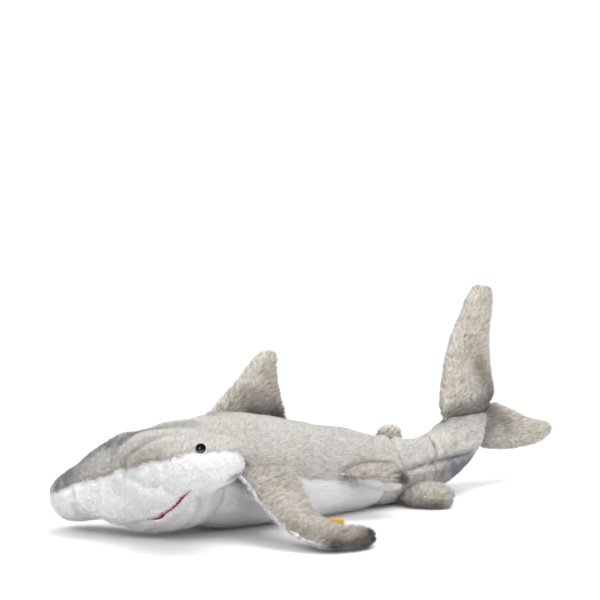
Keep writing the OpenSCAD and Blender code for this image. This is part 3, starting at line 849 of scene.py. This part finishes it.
def strands(points, normals, comb, pile, rng):
    """Slim three-sided fibres, combed and gathered into tufts: vertices, faces, normals, and each fibre's tone,
    with painted shade that darkens it towards its tuft's edge.
    """
    n = len(points)
    centre, tone, lean = clump_centres(points, pile.clump, 5)
    flow = comb + 0.5 * noise3(points, 12 * MM, 61) + 0.6 * pile.tuft * lean
    flow = unit(tangent(flow + 0.3 * rng.normal(size=(n, 3)), normals))
    lift = np.radians(pile.lift + 9 * noise(points, 8 * MM, 71) + 9 * rng.normal(size=n))[:, None]
    way = flow * np.cos(lift) + normals * np.sin(lift)
    length = pile.length * (1 + 0.16 * rng.normal(size=n) + 0.15 * noise(points, 9 * MM, 73))
    length = np.clip(length * (1 - 0.5 * painted_fold_shade(points)), 0.3 * pile.length, 1.5 * pile.length)[:, None]
    inward = tangent(centre - points, normals)
    base = points - normals * 0.3 * MM
    tip = points + way * length + inward * pile.pull
    side = unit(np.cross(way, normals)) * (pile.width / 2)
    ridge = normals * (pile.width * 0.75)
    verts = np.stack([base - side, base + side, base + ridge, tip], axis=1).reshape(-1, 3)
    first = 4 * np.arange(n)[:, None, None]
    faces = (first + np.array([[0, 3, 1], [1, 3, 2], [2, 3, 0], [0, 1, 2]])).reshape(-1, 3)
    outer = -inward / pile.clump
    shown = normals + pile.tuft * (0.8 * outer + 0.45 * tangent(lean, normals)) + 0.2 * flow
    shown = unit(shown + 0.15 * rng.normal(size=(n, 3)))
    # Painted shade: fibres towards the edge of their tuft are darker, as the gaps between tufts lie in shade
    edge = ramp(np.linalg.norm(outer, axis=1), 0.25, 0.62)
    tones_and_shade = pile.contrast * (0.9 * (tone - 0.5) - 0.8 * (edge - 0.4))
    return verts, faces, np.repeat(shown, 4, axis=0), tones_and_shade


def fibre_colours(points, panel, body, tones_and_shade, rng):
    """Sprayed colour, tuft and single-fibre differences, beige undercoat that shows through, and painted shade
    that darkens and browns fibres at the tufts' edges.
    """
    n = len(points)
    colour = paint(points, panel, body)
    if SLOT_OF[panel] == WHITE:
        return colour * (1 + 0.03 * rng.normal(size=n) + tones_and_shade)[:, None]
    # Beige undercoat on some fibres, and beige on darker fibres, which deepens the painted shade at the tufts'
    # edges
    under = (rng.random(n) < 0.16) * 0.6 - 1.1 * np.minimum(tones_and_shade, 0)
    depth_of_shade = colour.mean(axis=1, keepdims=True) / WARM.mean()
    colour = blend_to(colour, BEIGE * 0.9 * depth_of_shade, under)
    return colour * (1 + 0.08 * rng.normal(size=n) + tones_and_shade)[:, None]


MOST_FIBRES = 48000


def grow(form, body_of_panel, panel, shades, seed):
    """The pile of one panel, in pieces of at most MOST_FIBRES fibres."""
    body = body_of_panel[panel]
    rng = np.random.default_rng(seed)
    pile = pile_for(panel, body)
    faces = form.faces[form.panel == form.names.index(panel)]
    points, normals = scattered(form.verts, faces, form.normals, pile.density, rng)
    if body == "trunk":
        free = bare(points)
        points, normals = points[free], normals[free]
    verts, tris, shown, tone = strands(points, normals, comb_of(points, body), pile, rng)
    verts[:, 2] = np.maximum(verts[:, 2], 0.2 * MM)
    index = shades.nearest(fibre_colours(points, panel, body, tone, rng))
    made = []
    order = np.argsort(points[:, 0])
    parts = np.array_split(order, math.ceil(len(points) / MOST_FIBRES))
    for k, part in enumerate(parts):
        name = panel.replace("_panel", "") + "_pile" + (f"_{k + 1}" if len(parts) > 1 else "")
        corner = (part[:, None] * 4 + np.arange(4)).ravel()
        face = (np.arange(len(part))[:, None, None] * 4 + tris[:4][None]).reshape(-1, 3)
        me = new_mesh(name, verts[corner], face)
        kinds, slots = np.unique(index[part], return_inverse=True)
        for kind in kinds:
            me.materials.append(shades.materials[kind])
        me.polygons.foreach_set("material_index", np.repeat(slots, 4).astype(np.int32))
        me.normals_split_custom_set_from_vertices(shown[corner].tolist())
        made.append(new_object(name, me))
    return made


# ---- Cloth shells ----

CLOTH_THICK = 1.2 * MM


def shell(form, panel, body, material):
    """A panel's cloth with its real thickness, closed all round."""
    faces = form.faces[form.panel == form.names.index(panel)]
    outer, faces, index = used(form.verts, faces)
    inner = outer - form.normals[index] * CLOTH_THICK
    n = len(outer)
    pairs = np.concatenate([faces[:, [k, (k + 1) % 4]] for k in range(4)])
    key = {tuple(p) for p in pairs.tolist()}
    rim = np.array([[b, a, a + n, b + n] for a, b in key if (b, a) not in key], np.int64)
    rim = rim[np.lexsort((rim[:, 1], rim[:, 0]))]
    quads = np.concatenate([faces, faces[:, ::-1] + n, rim])
    name = panel.replace("_panel", "") + "_cloth"
    me = new_mesh(name, np.concatenate([outer, inner]), quads)
    set_tint(me, np.tile(paint(outer, panel, body), (2, 1)))
    me.materials.append(material)
    return new_object(name, me)


# ---- Eyes, mouth and label ----

def ring_faces(rings, steps):
    """Quads that join each ring of points to the next."""
    faces = []
    for i in range(rings - 1):
        for j in range(steps):
            k = (j + 1) % steps
            faces.append([i * steps + j, i * steps + k, (i + 1) * steps + k, (i + 1) * steps + j])
    return np.array(faces)


def lathe(name, profile, axis_point, axis, steps=48):
    """A solid turned round an axis, from (radius, height) pairs that start and end on the axis."""
    axis = unit(axis)
    u = unit(np.cross(axis, [0.3, 0.2, 0.9]))
    v = np.cross(axis, u)
    turns = 2 * math.pi * np.arange(steps) / steps
    rings = [axis_point + axis * h + r * (np.cos(turns)[:, None] * u + np.sin(turns)[:, None] * v)
             for r, h in profile]
    return new_object(name, new_mesh(name, np.concatenate(rings), ring_faces(len(profile), steps)))


def eye_axis(side):
    """The eye's middle on its ring's plane, and the way it looks."""
    ring = node_mesh(f"{side}_eye_ring")[0]
    stem = node_mesh(f"{side}_eye")[0]
    centre = ring.mean(axis=0)
    axis = np.linalg.svd(ring - centre)[2][2]
    reach = (stem - centre) @ axis
    if reach.max() > -reach.min():
        axis = -axis
    return centre, axis


def arc(r, height, start, steps, rise):
    """Profile points of a quarter ellipse that closes on the axis."""
    points = []
    for k in range(start, steps + 1):
        a = math.pi / 2 * k / steps
        points.append((max(r * math.cos(a), 1e-6), height + rise * math.sin(a)))
    return points


EYE_R = 4.6 * MM
EYE_PROUD = 1.5 * MM
EYE_RISE = 1.2 * MM
EYES = {}


def set_eyes(form):
    """Finds where each eye sits on the sewn head."""
    tree = BVHTree.FromPolygons(form.verts.tolist(), form.faces.tolist())
    for side in ("left", "right"):
        centre, axis = eye_axis(side)
        spot = tree.ray_cast(centre + TOY_UP * EYE_RISE + axis * 20 * MM, -axis)[0]
        EYES[side] = (np.array(spot), axis)


def eye_parts(side, black, white):
    centre, axis = EYES[side]
    centre = centre + axis * EYE_PROUD
    stem = 1.6 * MM
    dome = [(1e-6, -4 * MM), (stem, -4 * MM), (stem, -0.6 * MM), (EYE_R * 0.96, -0.6 * MM)]
    dome += arc(EYE_R, -0.2 * MM, 0, 14, 3.3 * MM)
    ball = lathe(f"{side}_eye_dome", dome, centre, axis)
    ball.data.materials.append(black)
    rim = []
    for k in range(17):
        a = 2 * math.pi * k / 16
        rim.append((EYE_R + 0.55 * MM + 0.62 * MM * math.cos(a), 0.1 * MM + 0.55 * MM * math.sin(a)))
    ring = lathe(f"{side}_eye_bezel", rim, centre, axis)
    ring.data.materials.append(white)
    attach(ball, "trunk")
    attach(ring, "trunk")
    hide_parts(f"{side}_eye", f"{side}_eye_washer")
    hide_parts(f"{side}_eye_ring")


def build_eyes():
    black, shader = principled("eye_gloss", 0.2, 0.0, 0.5, 0.85)
    shader.inputs["Base Color"].default_value = (0.001, 0.001, 0.0015, 1)
    white, shader = principled("eye_rim", 0.35, 0.0, 0.5, 0.5)
    shader.inputs["Base Color"].default_value = (0.50, 0.52, 0.56, 1)
    for side in ("left", "right"):
        eye_parts(side, black, white)


# The mouth's left half from the middle to the corner, in the toy's own directions
MOUTH_LEFT = [(28, -8, 18), (26, -32, 25), (25, -57, 42), (20, -79, 56)]
MOUTH_HALF_WIDTH = 3.1 * MM
MOUTH_SET_BACK = 18 * MM
MOUTH_STEPS = 110
STRIP_SIDES = 12


def mouth_path(form):
    """Points along the mouth on the sewn head, their normals, and the half width at each."""
    left = np.array([at(*p) for p in curve(MOUTH_LEFT)])[::-1]
    side = (left - LEAN_AXIS) @ TOY_SIDE
    right = (left - 2 * side[:, None] * TOY_SIDE)[::-1] + TOY_BACK * MOUTH_SET_BACK
    path = np.concatenate([left, right])
    step = np.concatenate([[0], np.cumsum(np.linalg.norm(np.diff(path, axis=0), axis=1))])
    place = np.linspace(0, step[-1], MOUTH_STEPS)
    path = np.stack([np.interp(place, step, path[:, k]) for k in range(3)], axis=1)
    tree = BVHTree.FromPolygons(form.verts.tolist(), form.faces.tolist())
    hits = [tree.find_nearest(p) for p in path.tolist()]
    spots = np.array([hit[0][:] for hit in hits])
    normals = np.array([hit[1][:] for hit in hits])
    for _ in range(6):
        spots[1:-1] = (spots[:-2] + spots[1:-1] * 2 + spots[2:]) / 4
        normals[1:-1] = unit(normals[:-2] + normals[1:-1] * 2 + normals[2:])
    return spots, normals, MOUTH_HALF_WIDTH * mouth_share(place / place[-1])


def mouth_share(t):
    """How open the mouth is, from 0 to 1: shut in the middle, fullest beside it, fine at its corners."""
    off_centre = np.abs(2 * t - 1)
    shut = np.where(t < 0.5, ramp(off_centre, 0.08, 0.17), ramp(off_centre, 0.2, 0.36))
    return np.maximum(shut * (1 - off_centre) ** 0.5 * 1.05, 0.02)


MOUTH = {}


def open_mouth(form):
    """Cuts the mouth's groove into the sewn head, with full lips on both sides."""
    spots, normals, half = mouth_path(form)
    MOUTH.update(spots=spots, normals=normals, half=half)
    far = to_path(form.verts, spots)
    tree = tree_of(spots)
    share = np.zeros(len(far))
    for i in np.where(far < 14 * MM)[0]:
        share[i] = half[tree.find(form.verts[i])[1]] / MOUTH_HALF_WIDTH
    depth = -3.4 * MM * bump(far, 2.8 * MM) + 1.8 * MM * bump(far - 6.5 * MM, 3.6 * MM)
    form.move(relaxed(depth * np.minimum(share * 1.6, 1), form.edges, 1))


def bare(points):
    """Which points lie clear of the mouth's lining and of the eyes."""
    tree = tree_of(MOUTH["spots"])
    hits = [tree.find(p)[1:] for p in points.tolist()]
    far = np.array([h[1] for h in hits])
    free = far > MOUTH["half"][[h[0] for h in hits]] * 1.25 + 0.9 * MM
    for side in ("left", "right"):
        centre, _ = EYES[side]
        free &= np.linalg.norm(points - centre, axis=1) > EYE_R + 0.9 * MM
    return free


def build_mouth():
    """The red lining between the lips: a flat strip, shut at its middle, pointed at its ends."""
    spots, normals, half = MOUTH["spots"], MOUTH["normals"], MOUTH["half"]
    along = unit(np.gradient(spots, axis=0))
    across = unit(np.cross(normals, along))
    turns = 2 * math.pi * np.arange(STRIP_SIDES) / STRIP_SIDES
    sunk = spots - normals * 0.2 * MM
    rings = []
    for a in turns:
        ripple = 1 + 0.06 * noise(spots, 5 * MM, 91 + int(a))
        rings.append(sunk + across * (half * math.cos(a) * ripple)[:, None]
                     + normals * (0.3 * MM + 0.55 * half * math.sin(a))[:, None])
    verts = np.stack(rings, axis=1).reshape(-1, 3)
    me = new_mesh("mouth_strip", verts, ring_faces(len(spots), STRIP_SIDES))
    mat, shader = principled("mouth_felt", 0.9, 0.05, 0.5, 0.1)
    link = mat.node_tree.links.new
    _, grain = grained(mat, shader, 900.0, 4.0, 0.6, 0.0005)
    tone = node_of(mat, "ShaderNodeValToRGB")
    tone.color_ramp.elements[0].color = (*linear(104, 0, 4), 1)
    tone.color_ramp.elements[1].color = (*linear(170, 4, 10), 1)
    link(grain.outputs["Fac"], tone.inputs["Fac"])
    link(tone.outputs["Color"], shader.inputs["Base Color"])
    me.materials.append(mat)
    strip = new_object("mouth_strip", me)
    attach(strip, "trunk")
    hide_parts("mouth_lining")


LABEL_CELLS = (24, 10)
LABEL_RISE = 0.5 * MM
LABEL_FORWARD = 3.5 * MM


def label_material():
    """Satin ribbon: fine crosswise threads, yellow with one plain orange band."""
    mat, shader = principled("label_satin", 0.5, 0.1, 0.4, 0.4)
    band = node_of(mat, "ShaderNodeAttribute", attribute_name="tint")
    mat.node_tree.links.new(band.outputs["Color"], shader.inputs["Base Color"])
    grained(mat, shader, 2200.0, 1.0, 0.4, 0.0003)
    return mat


def build_label():
    """A folded ribbon that stands out of the fin's seam, a little bent, with a band along it."""
    co = node_mesh("woven_label")[0]
    low, high = co.min(axis=0), co.max(axis=0)
    flat = co - co.mean(axis=0)
    along = np.linalg.svd(flat[:, :2])[2][0]
    along = np.array([along[0], along[1], 0.0])
    out = np.cross(along, [0, 0, 1])
    if out @ [0.7, 0.7, 0] > 0:
        out = -out
    length = (flat @ along).max() - (flat @ along).min()
    height = high[2] - low[2]
    nu, nv = LABEL_CELLS
    u, v = np.meshgrid(np.linspace(-0.5, 0.5, nu + 1), np.linspace(0, 1, nv + 1), indexing="ij")
    u, v = u.ravel(), v.ravel()
    bend = 0.9 * MM * np.sin(3.0 * u + 1.0) * v + 1.6 * MM * v * v
    place = co.mean(axis=0) * [1, 1, 0] + [0, 0, low[2] + LABEL_RISE] + out * LABEL_FORWARD
    middle = (place + along * (u * length)[:, None] + out * bend[:, None]
              + np.array([0, 0, 1.0]) * (v * height * (1 + 0.06 * np.sin(4 * u)))[:, None])
    thick = 0.35 * MM * (1 - 0.25 * v)
    front, back = middle - out * thick[:, None], middle + out * thick[:, None]
    n = len(u)
    cell = np.arange(n).reshape(nu + 1, nv + 1)
    quads = np.stack([cell[:-1, :-1], cell[1:, :-1], cell[1:, 1:], cell[:-1, 1:]], axis=-1).reshape(-1, 4)
    loop = np.concatenate([cell[:, 0], cell[-1, 1:], cell[-2::-1, -1], cell[0, -2:0:-1]])
    after = np.roll(loop, -1)
    rim = np.stack([after, loop, loop + n, after + n], axis=1)
    me = new_mesh("ribbon", np.concatenate([front, back]), np.concatenate([quads, quads[:, ::-1] + n, rim]))
    band = bump(np.tile(v, 2) - 0.45, 0.16)
    set_tint(me, blend_to(np.tile(linear(250, 205, 40), (2 * n, 1)), linear(240, 120, 40), band * 0.9))
    me.materials.append(label_material())
    ribbon = new_object("ribbon", me)
    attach(ribbon, "left_pectoral")
    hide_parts("woven_label")


# ---- Everything together ----

# How far ahead of the tail's hinge a body piece must end to ride with the trunk
BEND_AHEAD = 42 * MM


def blend_or_ride(obj, body):
    """Body pieces that end well ahead of the tail's hinge ride with the trunk; the other body pieces, and every
    fin piece, get their placement baked into their vertices.
    """
    if body in BODY_BODIES:
        co = np.array([v[:] for v in obj.bound_box])
        bend_start = TAIL_HINGE[0] - BEND_AHEAD
        if co[:, 0].max() < bend_start:
            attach(obj, "trunk")
        else:
            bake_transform(obj)
        return
    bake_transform(obj)


def build_soft_parts():
    shades = Shades()
    cloth = cloth_material("plush_ground")
    body_of_panel = {n: b for b in BODIES for n in panels_of(b)}
    form = body_form()
    sew_body(form)
    open_mouth(form)
    set_eyes(form)
    forms = [form]
    for body in FIN_BODIES:
        fin = fin_form(body)
        sew_fin(fin, body)
        forms.append(fin)
    fillings = {b: [n for n in BODIES[b] if n.endswith("_stuffing")] for b in BODIES}
    seed = 100
    for form in forms:
        for panel in form.names:
            body = body_of_panel[panel]
            seed += 1
            piece = shell(form, panel, body, cloth)
            blend_or_ride(piece, body)
            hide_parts(panel, *fillings.pop(body, ()))
            for tuft in grow(form, body_of_panel, panel, shades, seed):
                blend_or_ride(tuft, body)


def build_stage():
    me = new_mesh("floor", np.array([[-30, -30, 0], [30, -30, 0], [30, 30, 0], [-30, 30, 0]], float),
                  np.array([[0, 1, 2, 3]]))
    mat, shader = principled("floor_paper", 0.95, 0.0, 0.5, 0.0)
    shader.inputs["Base Color"].default_value = (0.93, 0.93, 0.93, 1)
    me.materials.append(mat)
    floor = new_object("floor", me)


def build_sun(name, way, energy, spread, shines=False):
    sun = bpy.data.lights.new(name, "SUN")
    sun.energy = energy
    sun.angle = math.radians(spread)
    lamp = bpy.data.objects.new(name, sun)
    bpy.context.scene.collection.objects.link(lamp)
    lamp.rotation_euler = Vector(way).to_track_quat("Z", "Y").to_euler()
    lamp.visible_glossy = shines


def build_world():
    """White behind the toy, soft white light on it, and a dim surrounding in its glossy parts."""
    world = bpy.data.worlds.new("studio")
    bpy.context.scene.world = world
    world.use_nodes = True
    tree = world.node_tree
    tree.nodes["Background"].inputs["Color"].default_value = (1, 1, 1, 1)
    tree.nodes["Background"].inputs["Strength"].default_value = 0.87
    seen = tree.nodes.new("ShaderNodeBackground")
    seen.inputs["Color"].default_value = (1, 1, 1, 1)
    seen.inputs["Strength"].default_value = 1.05
    path = tree.nodes.new("ShaderNodeLightPath")
    gloss = tree.nodes.new("ShaderNodeBackground")
    gloss.inputs["Strength"].default_value = 0.12
    soft = tree.nodes.new("ShaderNodeMixShader")
    tree.links.new(path.outputs["Is Glossy Ray"], soft.inputs[0])
    tree.links.new(tree.nodes["Background"].outputs[0], soft.inputs[1])
    tree.links.new(gloss.outputs[0], soft.inputs[2])
    mix = tree.nodes.new("ShaderNodeMixShader")
    tree.links.new(path.outputs["Is Camera Ray"], mix.inputs[0])
    tree.links.new(soft.outputs[0], mix.inputs[1])
    tree.links.new(seen.outputs[0], mix.inputs[2])
    tree.links.new(mix.outputs[0], tree.nodes["World Output"].inputs[0])


def build_lights():
    build_sun("softbox", (0.25, -0.15, 1.0), 1.7, 50)
    build_sun("front_fill", (-0.75, -0.85, 0.08), 1.1, 100)
    build_sun("glint", (-0.84, -0.34, 0.66), 0.6, 18, shines=True)


CAMERA_AZIMUTH = math.radians(-45)
CAMERA_ELEVATION = math.radians(7)
CAMERA_DISTANCE = 1.6
CAMERA_TILT_UP = math.radians(5.449)
CAMERA_LENS = 97.5
CAMERA_TARGET = Vector((-0.086, 0.0005, 0.060))


def build_camera():
    """Looks past the toy's middle, tilted up so that the toy stands in the lower half of the frame."""
    azimuth, elevation = CAMERA_AZIMUTH, CAMERA_ELEVATION
    back = Vector((math.sin(azimuth) * math.cos(elevation), -math.cos(azimuth) * math.cos(elevation),
                   math.sin(elevation)))
    data = bpy.data.cameras.new("camera")
    data.lens = CAMERA_LENS
    data.sensor_width = 36
    data.clip_end = 200
    camera = bpy.data.objects.new("camera", data)
    bpy.context.scene.collection.objects.link(camera)
    camera.location = CAMERA_TARGET + back * CAMERA_DISTANCE
    turn = (-back).to_track_quat("-Z", "Y").to_matrix().to_4x4()
    camera.rotation_euler = (turn @ Matrix.Rotation(CAMERA_TILT_UP, 4, "X")).to_euler()
    bpy.context.scene.camera = camera


build_camera()
build_world()
build_lights()
build_stage()
build_soft_parts()
build_eyes()
build_mouth()
build_label()
bpy.context.scene.view_settings.view_transform = "Standard"
